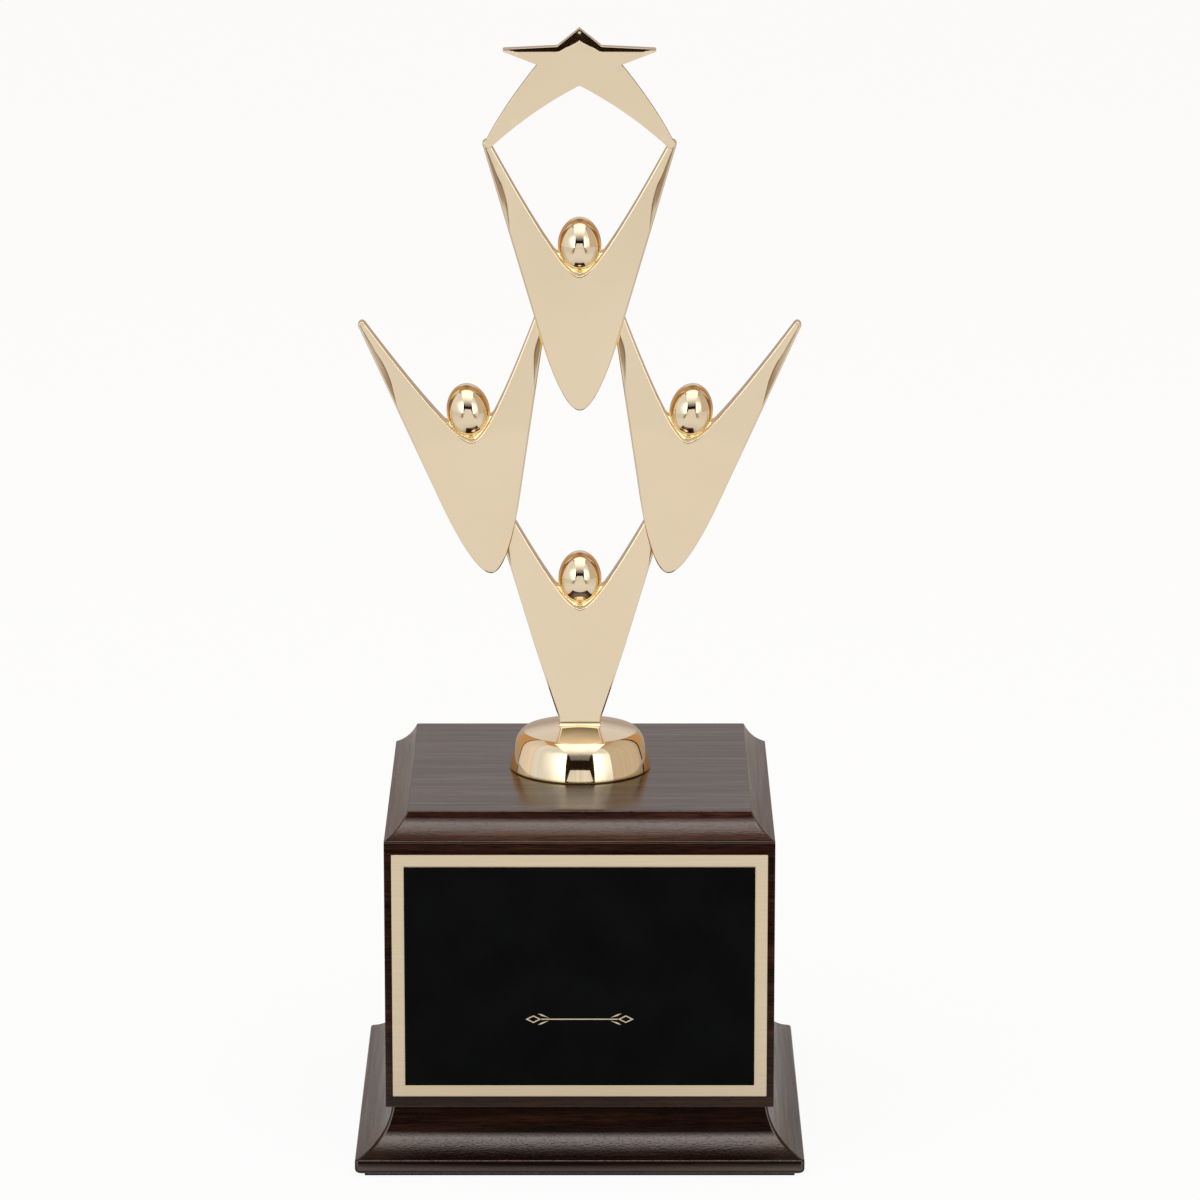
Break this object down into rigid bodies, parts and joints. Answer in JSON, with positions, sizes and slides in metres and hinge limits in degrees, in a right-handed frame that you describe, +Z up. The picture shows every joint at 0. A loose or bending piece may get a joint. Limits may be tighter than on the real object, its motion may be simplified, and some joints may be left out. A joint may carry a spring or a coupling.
{
  "type": "star trophy",
  "caption": "Award trophy: V-shaped figures with raised arms and egg-shaped heads stacked to hold up a star, on a round foot and a coved wood base with a bare front plate.",
  "frame": {"origin": "centre of the felt's underside, on the surface that the trophy stands on", "axes": "+Z up, -Y towards the viewer of the front plate, +X to that viewer's right"},
  "size_m": [0.14, 0.14, 0.3502],
  "materials": {
    "walnut": "dark walnut veneer under satin lacquer",
    "pine": "bare softwood",
    "felt": "black felt",
    "zinc_steel": "zinc plated",
    "tape": "double-sided foam tape",
    "satin_gold": "satin brushed gold",
    "black_lacquer": "satin black lacquer on brass",
    "polished_gold": "mirror-polished pale gold plating"
  },
  "bodies": {
    "root": {"felt_pad": "felt", "plinth_board": "walnut", "front_wall": "walnut", "back_wall": "walnut", "left_wall": "walnut", "right_wall": "walnut", "front_left_block": "pine", "front_right_block": "pine", "back_left_block": "pine", "back_right_block": "pine", "top_board": "walnut", "plinth_screws": "zinc_steel", "tie_rod": "zinc_steel", "rod_washer": "zinc_steel", "rod_nut": "zinc_steel", "plate_tape": "tape", "gold_plate": "satin_gold", "black_plate": "black_lacquer", "foot_disc": "polished_gold", "bottom_figure": "polished_gold", "left_figure": "polished_gold", "right_figure": "polished_gold", "top_figure": "polished_gold", "bottom_head": "polished_gold", "left_head": "polished_gold", "right_head": "polished_gold", "top_head": "polished_gold", "star": "polished_gold"}
  },
  "joints": []
}
